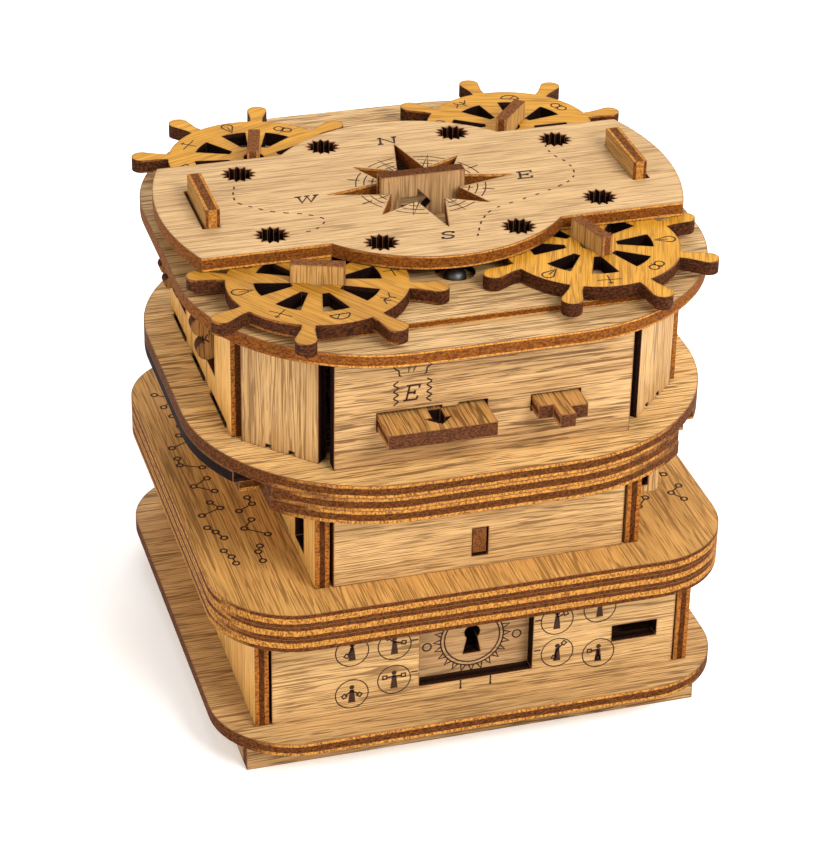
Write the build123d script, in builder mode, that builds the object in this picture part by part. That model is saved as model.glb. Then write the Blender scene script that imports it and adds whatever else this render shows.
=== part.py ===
"""Stacked plywood puzzle box with sliding keys, thumbwheels and four ship's wheels.

Millimetres, +Z up. The origin lies on the ground under the middle of the box and the
front faces -Y. Nearly every piece is a flat shape cut from one sheet of plywood.
"""

import os
from math import cos, pi, radians, sin

from build123d import *

os.makedirs("parts", exist_ok=True)

# ---------------------------------------------------------------- driving dimensions
PLY = 3.5  # sheet thickness
GAP = 0.3  # clearance between pieces that move past each other

# Heights, from the ground up
SKIRT_TOP = 9.1
BASE_TOP = SKIRT_TOP + PLY
LEDGE_TOP = 50.5
LEDGE_BOTTOM = LEDGE_TOP - 3 * PLY
COLLAR_TOP = 83.3
COLLAR_BOTTOM = COLLAR_TOP - 3 * PLY
DECK_TOP = 118.3
DECK_BOTTOM = DECK_TOP - PLY
PAD_TOP = DECK_TOP + 1.6
WHEEL_BOTTOM = PAD_TOP + GAP
WHEEL_TOP = WHEEL_BOTTOM + PLY
COVER_BOTTOM = WHEEL_TOP + GAP
COVER_TOP = COVER_BOTTOM + PLY

# Plates: the collar and the deck reach a little further back than the two below
PLATE_X, PLATE_Y = 131.0, 130.0
LOW_CORNER, HIGH_CORNER = 21.5, 46.5
HIGH_FRONT, HIGH_REAR = -65.2, 66.4

# Walls: outer faces of the front panels, and the side walls of each tier
FRONT = 55.2
SIDE_LOW, SIDE_MID, SIDE_TOP = 56.4, 41.2, 56.4
PANEL_LOW, PANEL_MID, PANEL_TOP = 52.3, 36.8, 36.8  # half widths
SIDE_SETBACK = 0.3  # ends of the side walls sit this far behind the front panels
SKIRT_HALF = 58.8

# Window, keyhole plate and card slot in the low front panel
WINDOW_HALF, WINDOW_LOW, WINDOW_HIGH = 14.7, 17.3, 35.9
CARD_SLOT = (35.7, 47.6, 21.7, 26.4)  # x from, x to, z from, z to
KEYPLATE_HALF, KEYPLATE_LOW, KEYPLATE_HIGH = 24.5, 15.3, 37.9
KEYHOLE_R, KEYHOLE_Z, KEYHOLE_FOOT, KEYHOLE_FOOT_HALF = 2.0, 28.4, 22.2, 2.3

# Bolt in the middle front panel
BOLT_LOW, BOLT_HIGH, BOLT_RECESS, BOLT_BACK = 54.2, 61.0, 0.5, -26.0

# Slide bar and T-shaped key in the top front panel
KEY_LOW = 92.9
KEY_HIGH = KEY_LOW + PLY
BAR_X, BAR_OUT = (-26.2, 0.4), -64.4
BAR_SHAFT, BAR_HEAD, BAR_TIP = (-14.0, -10.9, -58.8, -54.9), (-15.8, -9.3), -61.9  # its arrow-shaped hole
TKEY_X, TKEY_STEM_X = (11.8, 23.6), (15.5, 19.4)
TKEY_SHOULDERS, TKEY_OUT = (-60.0, -61.7), -65.2
KEY_BACK = -34.0
SHELF_BACK = -24.0

# Thumbwheels in the top left wall
THUMB_X, THUMB_Z = -50.4, 102.3
THUMB_AXLE_R, THUMB_BORE_R = 2.0, 2.06
THUMB_TIP_R = 11.4
FRONT_THUMB_Y, REAR_THUMB_Y = -14.0, 21.0

# Ledge drawer and side sliders
DRAWER_HALF, DRAWER_BACK = 39.5, -25.0
LOOSE_PLY = PLY - 2 * 0.25  # a sliding sheet is sanded thinner than its slot
COLLAR_CUT = 51.1
SLIDER_HALF = 43.4
TONGUE_HALF, TONGUE_END = 12.0, 30.0
RUNNER_X = 56.6

# Ship's wheels: the centre of each and how far it is turned
WHEELS = {
    "front_left": ((-35.6, -35.8), -20.0),
    "front_right": ((32.5, -34.2), -73.2),
    "rear_left": ((-34.2, 33.0), -105.3),
    "rear_right": ((34.5, 34.8), 49.9),
}
RIM_R, OPENING_OUT, OPENING_IN = 21.6, 15.0, 6.4
BULB_R, BULB_AT = 2.55, 28.3
HANDLES = 8
PIN_R, PIN_BORE_R = 2.5, 2.56
HANDLE_TAB = 12.8  # length of the upright tab on each wheel
HANDLE_TAB_TOP = WHEEL_TOP + 4.8

# Cover: its outline and peepholes are centred a touch off the compass star
COVER_AT = (-0.8, -0.4)
COVER_R, COVER_HALF, BULGE_R = 65.1, 25.0, 38.0
STAR_LONG, STAR_SHORT, STAR_IN = 23.6, 19.0, 9.2
PEEP_OUTER, PEEP_INNER = (44.6, 22.5), (32.2, 58.0)  # radius and angle of the peepholes
PEEP_TIP, PEEP_ROOT, PEEP_POINTS = 4.3, 3.0, 13
TABS_AT = {"left": -54.6, "right": 53.4}
TAB_HALF, TAB_LEG, TAB_TOP, TAB_SLACK = 10.2, 7.4, 132.2, 0.8
KEY_HALF, KEY_TOP, KEY_FOOT, KEY_THICK = 10.8, 131.2, 107.0, 3.2
SPACER_R, SPACER_HOLE = 15.8, 12.0
BALL_POCKET, BALL_POCKET_R, BALL_R = (-0.9, -32.4), 4.8, 2.8

SIDES = {"left": -1, "right": 1}


def save(part, name):
    """Label a finished piece and write it to its own STEP file."""
    part.label = name
    export_step(part, f"parts/{name}.step")


def box_sketch(x0, x1, y0, y1, mode=Mode.ADD):
    """A rectangle from its limits, in the plane of the current sketch."""
    with Locations(((x0 + x1) / 2, (y0 + y1) / 2)):
        Rectangle(x1 - x0, y1 - y0, mode=mode)


def wall_plane(y):
    """A sketch plane facing the front at the given Y: its x is +X and its y is +Z."""
    return Plane(origin=(0, y, 0), x_dir=(1, 0, 0), z_dir=(0, -1, 0))


def side_plane(x):
    """A sketch plane at the given X: its x is +Y, its y is +Z and it faces +X."""
    return Plane(origin=(x, 0, 0), x_dir=(0, 1, 0), z_dir=(1, 0, 0))


def high_outline():
    """The rounded outline shared by the collar's plies, the sliders and the deck."""
    with Locations((0, (HIGH_FRONT + HIGH_REAR) / 2)):
        RectangleRounded(PLATE_X, HIGH_REAR - HIGH_FRONT, HIGH_CORNER)


def ring_points(*radii):
    """Corners at even angles all round, each at its own radius."""
    step = 2 * pi / len(radii)
    return [(r * cos(k * step), r * sin(k * step)) for k, r in enumerate(radii)]


# ---------------------------------------------------------------- skirt and base plate
for name, y in (("skirt_front", -FRONT), ("skirt_back", FRONT - PLY)):
    with BuildPart() as skirt_board:
        with BuildSketch():
            box_sketch(-SKIRT_HALF, SKIRT_HALF, y, y + PLY)
        extrude(amount=SKIRT_TOP)
    save(skirt_board.part, name)

with BuildPart() as skirt_sides:
    with BuildSketch():
        for side in SIDES.values():
            edges = (side * (SKIRT_HALF - PLY), side * SKIRT_HALF)
            box_sketch(min(edges), max(edges), PLY - FRONT, FRONT - PLY)
    extrude(amount=SKIRT_TOP)
save(skirt_sides.part, "skirt_sides")

with BuildPart() as base_plate:
    with BuildSketch(Plane.XY.offset(SKIRT_TOP)):
        RectangleRounded(PLATE_X, PLATE_Y, LOW_CORNER)
    extrude(amount=PLY)
save(base_plate.part, "base_plate")

# ---------------------------------------------------------------- low tier
with BuildPart() as low_front_panel:
    with BuildSketch(wall_plane(PLY - FRONT)):
        box_sketch(-PANEL_LOW, PANEL_LOW, BASE_TOP, LEDGE_BOTTOM)
        box_sketch(-WINDOW_HALF, WINDOW_HALF, WINDOW_LOW, WINDOW_HIGH, Mode.SUBTRACT)
        box_sketch(*CARD_SLOT, Mode.SUBTRACT)
    extrude(amount=PLY)
save(low_front_panel.part, "low_front_panel")

with BuildPart() as low_back_panel:
    with BuildSketch(wall_plane(FRONT)):
        box_sketch(-PANEL_LOW, PANEL_LOW, BASE_TOP, LEDGE_BOTTOM)
    extrude(amount=PLY)
save(low_back_panel.part, "low_back_panel")

for name, side in SIDES.items():
    with BuildPart() as low_side_wall:
        with BuildSketch(side_plane(side * SIDE_LOW)):
            end = FRONT - SIDE_SETBACK
            box_sketch(-end, end, BASE_TOP, LEDGE_BOTTOM)
        extrude(amount=-side * PLY)
    save(low_side_wall.part, f"low_{name}_wall")

# The keyhole plate slides sideways behind the window, between two lipped rails.
PLATE_FACE = PLY - FRONT + GAP
with BuildPart() as keyhole_plate:
    with BuildSketch(wall_plane(PLATE_FACE + PLY)):
        box_sketch(-KEYPLATE_HALF, KEYPLATE_HALF, KEYPLATE_LOW, KEYPLATE_HIGH)
        with Locations((0, KEYHOLE_Z)):
            Circle(KEYHOLE_R, mode=Mode.SUBTRACT)
        with BuildLine():
            Polyline(
                (-KEYHOLE_R / 2, KEYHOLE_Z),
                (-KEYHOLE_FOOT_HALF, KEYHOLE_FOOT),
                (KEYHOLE_FOOT_HALF, KEYHOLE_FOOT),
                (KEYHOLE_R / 2, KEYHOLE_Z),
                close=True,
            )
        make_face(mode=Mode.SUBTRACT)
    extrude(amount=PLY)
save(keyhole_plate.part, "keyhole_plate")

RAIL_HALF, RAIL_BACK, RAIL_LIP = 34.0, -44.0, 3.0
with BuildPart() as keyhole_rails:
    with BuildSketch(side_plane(-RAIL_HALF)):
        box_sketch(PLY - FRONT, RAIL_BACK, BASE_TOP, KEYPLATE_LOW - GAP)
        box_sketch(PLATE_FACE + PLY + GAP, RAIL_BACK, BASE_TOP, KEYPLATE_LOW + RAIL_LIP)
        box_sketch(PLY - FRONT, RAIL_BACK, KEYPLATE_HIGH + GAP, LEDGE_BOTTOM)
        box_sketch(PLATE_FACE + PLY + GAP, RAIL_BACK, KEYPLATE_HIGH - RAIL_LIP, LEDGE_BOTTOM)
    extrude(amount=2 * RAIL_HALF)
save(keyhole_rails.part, "keyhole_rails")

# ---------------------------------------------------------------- ledge: three plies and a drawer
for name, z in (("ledge_lower_ply", LEDGE_BOTTOM), ("ledge_upper_ply", LEDGE_TOP - PLY)):
    with BuildPart() as ledge_ply:
        with BuildSketch(Plane.XY.offset(z)):
            RectangleRounded(PLATE_X, PLATE_Y, LOW_CORNER)
        extrude(amount=PLY)
    save(ledge_ply.part, name)

with BuildPart() as ledge_middle_ply:
    with BuildSketch(Plane.XY.offset(LEDGE_BOTTOM + PLY)):
        RectangleRounded(PLATE_X, PLATE_Y, LOW_CORNER)
        box_sketch(-PLATE_X, DRAWER_BACK + GAP, -DRAWER_HALF - GAP, DRAWER_HALF + GAP, Mode.SUBTRACT)
    extrude(amount=PLY)
save(ledge_middle_ply.part, "ledge_middle_ply")

with BuildPart() as ledge_drawer:
    with BuildSketch(Plane.XY.offset(LEDGE_BOTTOM + PLY + (PLY - LOOSE_PLY) / 2)):
        RectangleRounded(PLATE_X, PLATE_Y, LOW_CORNER)
        box_sketch(-PLATE_X, DRAWER_BACK, -DRAWER_HALF, DRAWER_HALF, Mode.INTERSECT)
    extrude(amount=LOOSE_PLY)
save(ledge_drawer.part, "ledge_drawer")

# ---------------------------------------------------------------- middle tier
BOLT_HALF = PLY / 2
with BuildPart() as middle_front_panel:
    with BuildSketch(wall_plane(PLY - FRONT)):
        box_sketch(-PANEL_MID, PANEL_MID, LEDGE_TOP, COLLAR_BOTTOM)
        slot_half = BOLT_HALF + GAP
        box_sketch(-slot_half, slot_half, BOLT_LOW - 2 * GAP, BOLT_HIGH + 2 * GAP, Mode.SUBTRACT)
    extrude(amount=PLY)
save(middle_front_panel.part, "middle_front_panel")

with BuildPart() as middle_back_panel:
    with BuildSketch(wall_plane(FRONT)):
        box_sketch(-PANEL_MID, PANEL_MID, LEDGE_TOP, COLLAR_BOTTOM)
    extrude(amount=PLY)
save(middle_back_panel.part, "middle_back_panel")

SIDE_SLOT_Y, SIDE_SLOT_Z = (-43.8, -35.4), (53.8, 63.6)
FOOT_NOTCH_Y, FOOT_NOTCH = (-28.4, -20.4), 0.9
for name, side in SIDES.items():
    with BuildPart() as middle_side_wall:
        with BuildSketch(side_plane(side * SIDE_MID)):
            end = FRONT - SIDE_SETBACK
            box_sketch(-end, end, LEDGE_TOP, COLLAR_BOTTOM)
            box_sketch(*SIDE_SLOT_Y, *SIDE_SLOT_Z, Mode.SUBTRACT)
            box_sketch(*FOOT_NOTCH_Y, LEDGE_TOP, LEDGE_TOP + FOOT_NOTCH, Mode.SUBTRACT)
        extrude(amount=-side * PLY)
    save(middle_side_wall.part, f"middle_{name}_wall")

with BuildPart() as front_bolt:
    with BuildSketch(Plane.XY.offset(BOLT_LOW)):
        box_sketch(-BOLT_HALF, BOLT_HALF, BOLT_RECESS - FRONT, BOLT_BACK)
    extrude(amount=BOLT_HIGH - BOLT_LOW)
save(front_bolt.part, "front_bolt")

# Two cheeks and a floor strip carry the bolt behind the panel.
CHEEK_Y = (-47.0, -30.0)
with BuildPart() as bolt_guide:
    with BuildSketch(wall_plane(CHEEK_Y[1])):
        cheek = BOLT_HALF + GAP
        box_sketch(-cheek - PLY, cheek + PLY, LEDGE_TOP, BOLT_HIGH + GAP)
        box_sketch(-cheek, cheek, BOLT_LOW - GAP, BOLT_HIGH + GAP, Mode.SUBTRACT)
    extrude(amount=CHEEK_Y[1] - CHEEK_Y[0])
save(bolt_guide.part, "bolt_guide")

# A small pierced catch stands out of the right-hand wall under the collar.
CATCH_X, CATCH_Y, CATCH_LOW = 49.4, -45.5, 58.4
CATCH_EYE_X, CATCH_EYE_Z = (43.2, 46.6), (60.6, 63.8)
with BuildPart() as side_catch:
    with BuildSketch(wall_plane(CATCH_Y + PLY)):
        box_sketch(SIDE_MID, CATCH_X, CATCH_LOW, COLLAR_BOTTOM)
        box_sketch(*CATCH_EYE_X, *CATCH_EYE_Z, Mode.SUBTRACT)
    extrude(amount=PLY)
save(side_catch.part, "side_catch")

# ---------------------------------------------------------------- collar: three plies and two sliders
# The top side boards have notches in their feet, each over an open mortise in the collar.
BOARD_NOTCHES = ((-28.9, -12.0), (-5.9, 8.3), (15.2, 30.0))
MORTISE_X = (SIDE_TOP - PLY + GAP, SIDE_TOP + GAP)
with BuildPart() as collar_upper_ply:
    with BuildSketch(Plane.XY.offset(COLLAR_TOP - PLY)):
        high_outline()
        for side in SIDES.values():
            across = sorted(side * x for x in MORTISE_X)
            for y0, y1 in BOARD_NOTCHES:
                box_sketch(*across, y0, y1, Mode.SUBTRACT)
    extrude(amount=PLY)
save(collar_upper_ply.part, "collar_upper_ply")

with BuildPart() as collar_middle_ply:
    with BuildSketch(Plane.XY.offset(COLLAR_BOTTOM + PLY)):
        high_outline()
        box_sketch(-COLLAR_CUT, COLLAR_CUT, -PLATE_Y, PLATE_Y, Mode.INTERSECT)
        for side in SIDES.values():
            notch = (side * (TONGUE_END - GAP), side * (COLLAR_CUT + 1))
            box_sketch(min(notch), max(notch), -TONGUE_HALF - GAP, TONGUE_HALF + GAP, Mode.SUBTRACT)
    extrude(amount=PLY)
save(collar_middle_ply.part, "collar_middle_ply")

with BuildPart() as collar_lower_ply:
    with BuildSketch(Plane.XY.offset(COLLAR_BOTTOM)):
        high_outline()
        box_sketch(-COLLAR_CUT - GAP, COLLAR_CUT + GAP, -PLATE_Y, PLATE_Y, Mode.INTERSECT)
    extrude(amount=PLY)
save(collar_lower_ply.part, "collar_lower_ply")

with BuildPart() as slider_runners:
    with BuildSketch(Plane.XY.offset(COLLAR_BOTTOM)):
        for side in SIDES.values():
            run = (side * (COLLAR_CUT + GAP), side * RUNNER_X)
            box_sketch(min(run), max(run), 1.5 - SLIDER_HALF, SLIDER_HALF - 1.5)
    extrude(amount=PLY)
save(slider_runners.part, "slider_runners")

for name, side in SIDES.items():
    with BuildPart() as side_slider:
        with BuildSketch(Plane.XY.offset(COLLAR_BOTTOM + PLY + (PLY - LOOSE_PLY) / 2)):
            high_outline()
            body = (side * (COLLAR_CUT + GAP), side * PLATE_X)
            box_sketch(min(body), max(body), -SLIDER_HALF, SLIDER_HALF, Mode.INTERSECT)
            tongue = (side * TONGUE_END, side * (COLLAR_CUT + 1))
            box_sketch(min(tongue), max(tongue), -TONGUE_HALF, TONGUE_HALF)
        extrude(amount=LOOSE_PLY)
    save(side_slider.part, f"{name}_slider")

# ---------------------------------------------------------------- top tier walls
SLOT_TOP, TOOTH_X = KEY_HIGH + 1.1, (-10.6, -6.4)
BAR_SLOT = (BAR_X[0] - GAP, BAR_X[1] + GAP, KEY_LOW - GAP, SLOT_TOP)
BAR_SLOT_TOOTH = (*TOOTH_X, KEY_HIGH + GAP, SLOT_TOP)
TKEY_SLOT = (TKEY_X[0] - GAP, TKEY_X[1] + GAP, KEY_LOW - GAP, KEY_HIGH + 2 * GAP)
with BuildPart() as top_front_panel:
    with BuildSketch(wall_plane(PLY - FRONT)):
        box_sketch(-PANEL_TOP, PANEL_TOP, COLLAR_TOP, DECK_BOTTOM)
        box_sketch(*BAR_SLOT, Mode.SUBTRACT)
        box_sketch(*BAR_SLOT_TOOTH)
        box_sketch(*TKEY_SLOT, Mode.SUBTRACT)
    extrude(amount=PLY)
save(top_front_panel.part, "top_front_panel")

with BuildPart() as top_back_panel:
    with BuildSketch(wall_plane(FRONT)):
        box_sketch(-PANEL_TOP, PANEL_TOP, COLLAR_TOP, DECK_BOTTOM)
    extrude(amount=PLY)
save(top_back_panel.part, "top_back_panel")

# Four upright panels cut across the corners.
CORNER_X, CORNER_Y, CORNER_HALF = 46.95, 43.7, 10.6
CORNER_NOTCH_AT, CORNER_NOTCH_HALF, CORNER_NOTCH = 3.2, 0.7, 1.2
CORNER_TRIM = {"front_right": 1.6}  # taken off the end nearest the front
for name, side_x, side_y in (
    ("front_left", -1, -1),
    ("front_right", 1, -1),
    ("rear_left", -1, 1),
    ("rear_right", 1, 1),
):
    outward = Vector(side_x, side_y, 0).normalized()
    face = Plane(
        origin=(side_x * CORNER_X, side_y * CORNER_Y, 0),
        x_dir=outward.rotate(Axis.Z, 90),
        z_dir=outward,
    )
    with BuildPart() as corner_panel:
        with BuildSketch(face):
            box_sketch(CORNER_TRIM.get(name, 0) - CORNER_HALF, CORNER_HALF, COLLAR_TOP, DECK_BOTTOM)
            for at in (-CORNER_NOTCH_AT, CORNER_NOTCH_AT):
                notch = (at - CORNER_NOTCH_HALF, at + CORNER_NOTCH_HALF)
                box_sketch(*notch, COLLAR_TOP, COLLAR_TOP + CORNER_NOTCH, Mode.SUBTRACT)
        extrude(amount=-PLY)
    save(corner_panel.part, f"{name}_corner_panel")

# Each top side wall is three boards side by side, each raised on short feet.
TOP_SIDE_END = 34.3
SEAMS = (-TOP_SIDE_END, -7.8, 9.1, TOP_SIDE_END)
SEAM_GAP = 0.2
THUMB_SLOT_LOW = 90.6
THUMB_SLOTS = ((-16.8, -7.8), (15.4, 27.5))
for name, side in SIDES.items():
    with BuildPart() as top_side_boards:
        with BuildSketch(side_plane(side * SIDE_TOP)):
            for y0, y1, (n0, n1) in zip(SEAMS, SEAMS[1:], BOARD_NOTCHES):
                box_sketch(y0 + SEAM_GAP / 2, y1 - SEAM_GAP / 2, COLLAR_TOP, DECK_BOTTOM)
                box_sketch(n0, n1, COLLAR_TOP, COLLAR_TOP + FOOT_NOTCH, Mode.SUBTRACT)
            if name == "left":
                for y0, y1 in THUMB_SLOTS:
                    box_sketch(y0, y1, THUMB_SLOT_LOW, DECK_BOTTOM, Mode.SUBTRACT)
        extrude(amount=-side * PLY)
    save(top_side_boards.part, f"top_{name}_boards")

# ---------------------------------------------------------------- slide bar and T key
with BuildPart() as slide_bar:
    with BuildSketch(Plane.XY.offset(KEY_LOW)):
        box_sketch(*BAR_X, BAR_OUT, KEY_BACK)
        box_sketch(*BAR_SHAFT, Mode.SUBTRACT)
        with BuildLine():
            wing_y = BAR_SHAFT[2]
            tip = (sum(BAR_HEAD) / 2, BAR_TIP)
            Polyline((BAR_HEAD[0], wing_y), tip, (BAR_HEAD[1], wing_y), close=True)
        make_face(mode=Mode.SUBTRACT)
    extrude(amount=PLY)
save(slide_bar.part, "slide_bar")

with BuildPart() as t_key:
    with BuildSketch(Plane.XY.offset(KEY_LOW)):
        box_sketch(TKEY_X[0], TKEY_STEM_X[0], TKEY_SHOULDERS[0], KEY_BACK)
        box_sketch(*TKEY_STEM_X, TKEY_OUT, KEY_BACK)
        box_sketch(TKEY_STEM_X[1], TKEY_X[1], TKEY_SHOULDERS[1], KEY_BACK)
    extrude(amount=PLY)
save(t_key.part, "t_key")

# A shelf behind the panel carries both, with fences beside them.
FENCES = tuple((x, x + PLY) for x in (BAR_X[0] - GAP - PLY, 4.0, TKEY_X[1] + GAP))
with BuildPart() as key_shelf:
    with BuildSketch(Plane.XY.offset(KEY_LOW - GAP - PLY)):
        box_sketch(-PANEL_TOP + PLY, PANEL_TOP - PLY, PLY - FRONT, SHELF_BACK)
    extrude(amount=PLY)
save(key_shelf.part, "key_shelf")

with BuildPart() as key_fences:
    with BuildSketch(Plane.XY.offset(KEY_LOW - GAP)):
        for x0, x1 in FENCES:
            box_sketch(x0, x1, PLY - FRONT, SHELF_BACK)
    extrude(amount=PLY + 2 * GAP)
save(key_fences.part, "key_fences")

# ---------------------------------------------------------------- thumbwheels on one axle
AXLE_PLANE = Plane(origin=(THUMB_X, 0, THUMB_Z), x_dir=(1, 0, 0), z_dir=(0, -1, 0))
AXLE_HALF = 30.0
with BuildPart() as thumb_axle:
    with BuildSketch(AXLE_PLANE.offset(-AXLE_HALF)):
        Circle(THUMB_AXLE_R)
    extrude(amount=2 * AXLE_HALF)
save(thumb_axle.part, "thumb_axle")

BRACKET_YS, BRACKET_REACH = (-27.0, 3.0, 30.0 - PLY), 5.5
with BuildPart() as axle_brackets:
    for y in BRACKET_YS:
        with BuildSketch(wall_plane(y + PLY)):
            box_sketch(PLY - SIDE_TOP, THUMB_X + BRACKET_REACH, COLLAR_TOP, THUMB_Z + BRACKET_REACH)
            with Locations((THUMB_X, THUMB_Z)):
                Circle(THUMB_AXLE_R, mode=Mode.SUBTRACT)
        extrude(amount=PLY)
save(axle_brackets.part, "axle_brackets")

for name, y, lobes, lobe_r, turn in (
    ("front_thumbwheel", FRONT_THUMB_Y, 8, 2.7, 213.0),
    ("rear_thumbwheel", REAR_THUMB_Y, 14, 1.5, 205.0),
):
    with BuildPart() as thumbwheel:
        with BuildSketch(AXLE_PLANE.offset(-y - PLY / 2)):
            Circle(THUMB_TIP_R - lobe_r * 1.15)
            with PolarLocations(THUMB_TIP_R - lobe_r, lobes, start_angle=turn):
                Circle(lobe_r)
            Circle(THUMB_BORE_R, mode=Mode.SUBTRACT)
        extrude(amount=PLY)
    save(thumbwheel.part, name)

# ---------------------------------------------------------------- deck
with BuildPart() as deck_plate:
    with BuildSketch(Plane.XY.offset(DECK_BOTTOM)):
        high_outline()
        for tab_at in TABS_AT.values():
            with Locations((tab_at, 0)):
                Rectangle(PLY + 2 * GAP, 2 * (TAB_LEG + GAP), mode=Mode.SUBTRACT)
        Rectangle(2 * (KEY_HALF + GAP), KEY_THICK + 2 * GAP, mode=Mode.SUBTRACT)
    extrude(amount=PLY)
save(deck_plate.part, "deck_plate")

PAD_X, PAD_Y = 42.0, 54.4
with BuildPart() as deck_pad:
    with BuildSketch(Plane.XY.offset(DECK_TOP)):
        RectangleRounded(2 * PAD_X, 2 * PAD_Y, PLY)
        Rectangle(2 * (KEY_HALF + GAP), KEY_THICK + 2 * GAP, mode=Mode.SUBTRACT)
        with Locations(BALL_POCKET):
            Circle(BALL_POCKET_R, mode=Mode.SUBTRACT)
    extrude(amount=PAD_TOP - DECK_TOP)
save(deck_pad.part, "deck_pad")

with BuildPart() as steel_stud:
    with Locations((*BALL_POCKET, DECK_TOP)):
        Sphere(BALL_R, arc_size1=0, align=(Align.CENTER, Align.CENTER, Align.MIN))
save(steel_stud.part, "steel_stud")

with BuildPart() as hub_spacer:
    with BuildSketch(Plane.XY.offset(PAD_TOP)):
        Circle(SPACER_R)
        Circle(SPACER_HOLE, mode=Mode.SUBTRACT)
    extrude(amount=COVER_BOTTOM - GAP / 2 - PAD_TOP)
save(hub_spacer.part, "hub_spacer")

with BuildPart() as wheel_pins:
    with BuildSketch(Plane.XY.offset(PAD_TOP)):
        with Locations(*(at for at, turn in WHEELS.values())):
            Circle(PIN_R)
    extrude(amount=PLY / 2)
save(wheel_pins.part, "wheel_pins")

# ---------------------------------------------------------------- ship's wheels
NECK_HALF, OPENING_EDGE, OPENING_NOSE = 1.6, 13.0, 7.5
with BuildSketch() as opening:
    edge, nose = radians(OPENING_EDGE), radians(OPENING_NOSE)
    outer_y = OPENING_OUT * sin(edge)
    inner_x, inner_y = OPENING_IN * cos(nose), OPENING_IN * sin(nose)
    Polygon(
        (inner_x, -inner_y),
        (OPENING_OUT, -outer_y),
        (OPENING_OUT, outer_y),
        (inner_x, inner_y),
        align=None,
    )
    Circle(OPENING_OUT, mode=Mode.INTERSECT)

with BuildSketch() as wheel_outline:
    Circle(RIM_R)
    with PolarLocations(BULB_AT, HANDLES):
        Circle(BULB_R)
    with PolarLocations(0, HANDLES):
        Polygon(
            (RIM_R - 2, -NECK_HALF),
            (RIM_R + 2, -NECK_HALF),
            (BULB_AT - 0.8, 0.15 - BULB_R),
            (BULB_AT - 0.8, BULB_R - 0.15),
            (RIM_R + 2, NECK_HALF),
            (RIM_R - 2, NECK_HALF),
            align=None,
        )
    with PolarLocations(0, HANDLES, start_angle=180 / HANDLES):
        add(opening.sketch, mode=Mode.SUBTRACT)
    Circle(PIN_BORE_R, mode=Mode.SUBTRACT)

TAB_ROOT, TAB_THICK = PLY / 4, PLY - 0.5
for name, (at, turn) in WHEELS.items():
    centre = Plane(origin=(*at, WHEEL_BOTTOM), x_dir=Vector(1, 0, 0).rotate(Axis.Z, turn))
    with BuildPart() as ships_wheel:
        with BuildSketch(centre):
            add(wheel_outline.sketch)
        extrude(amount=PLY)
        with BuildSketch(centre.offset(PLY)):
            Rectangle(HANDLE_TAB, TAB_THICK)
        extrude(amount=-TAB_ROOT, mode=Mode.SUBTRACT)
    save(ships_wheel.part, f"{name}_wheel")

    with BuildPart() as wheel_tab:
        with BuildSketch(centre.offset(PLY - TAB_ROOT)):
            Rectangle(HANDLE_TAB, TAB_THICK)
        extrude(amount=HANDLE_TAB_TOP - WHEEL_TOP + TAB_ROOT)
    save(wheel_tab.part, f"{name}_tab")

# ---------------------------------------------------------------- cover and its tabs
with BuildPart() as cover_plate:
    with BuildSketch(Plane.XY.offset(COVER_BOTTOM)):
        with Locations(COVER_AT):
            Circle(COVER_R)
            Rectangle(2 * COVER_R, 2 * COVER_HALF, mode=Mode.INTERSECT)
            Circle(BULGE_R)
        star = ring_points(*(STAR_LONG, STAR_IN, STAR_SHORT, STAR_IN) * 4)
        Polygon(*star, align=None, mode=Mode.SUBTRACT)
        for radius, angle in (PEEP_OUTER, PEEP_INNER):
            x, y = radius * cos(radians(angle)), radius * sin(radians(angle))
            with Locations(COVER_AT), GridLocations(2 * x, 2 * y, 2, 2):
                hole = ring_points(*(PEEP_TIP, PEEP_ROOT) * PEEP_POINTS)
                Polygon(*hole, align=None, mode=Mode.SUBTRACT)
        for name, side in SIDES.items():
            slot = (TABS_AT[name] - side * PLY / 2, TABS_AT[name] + side * (PLY / 2 + TAB_SLACK))
            box_sketch(min(slot), max(slot), -TAB_HALF - GAP, TAB_HALF + GAP, Mode.SUBTRACT)
    extrude(amount=PLY)
save(cover_plate.part, "cover_plate")

for name, side in SIDES.items():
    with BuildPart() as cover_tab:
        with BuildSketch(side_plane(TABS_AT[name] - side * PLY / 2)):
            box_sketch(-TAB_HALF, TAB_HALF, COVER_BOTTOM, TAB_TOP)
            box_sketch(-TAB_LEG, TAB_LEG, DECK_BOTTOM, COVER_BOTTOM)
        extrude(amount=side * PLY)
    save(cover_tab.part, f"cover_{name}_tab")

# The compass key stands in the star and is lifted straight out.
ARROW_MIDDLE, ARROW_SHAFT, ARROW_HEAD = 123.4, 1.7, 3.6  # height above the ground and half widths
ARROW_TAIL, ARROW_NECK, ARROW_TIP = -5.4, -1.2, 2.2
with BuildPart() as compass_key:
    with BuildSketch(wall_plane(KEY_THICK / 2)):
        box_sketch(-KEY_HALF, KEY_HALF, KEY_FOOT, KEY_TOP)
        with BuildLine():
            Polyline(
                (ARROW_TAIL, ARROW_MIDDLE - ARROW_SHAFT),
                (ARROW_NECK, ARROW_MIDDLE - ARROW_SHAFT),
                (ARROW_NECK, ARROW_MIDDLE - ARROW_HEAD),
                (ARROW_TIP, ARROW_MIDDLE),
                (ARROW_NECK, ARROW_MIDDLE + ARROW_HEAD),
                (ARROW_NECK, ARROW_MIDDLE + ARROW_SHAFT),
                (ARROW_TAIL, ARROW_MIDDLE + ARROW_SHAFT),
                close=True,
            )
        make_face(mode=Mode.SUBTRACT)
    extrude(amount=KEY_THICK)
save(compass_key.part, "compass_key")
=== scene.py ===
import math
import random

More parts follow.
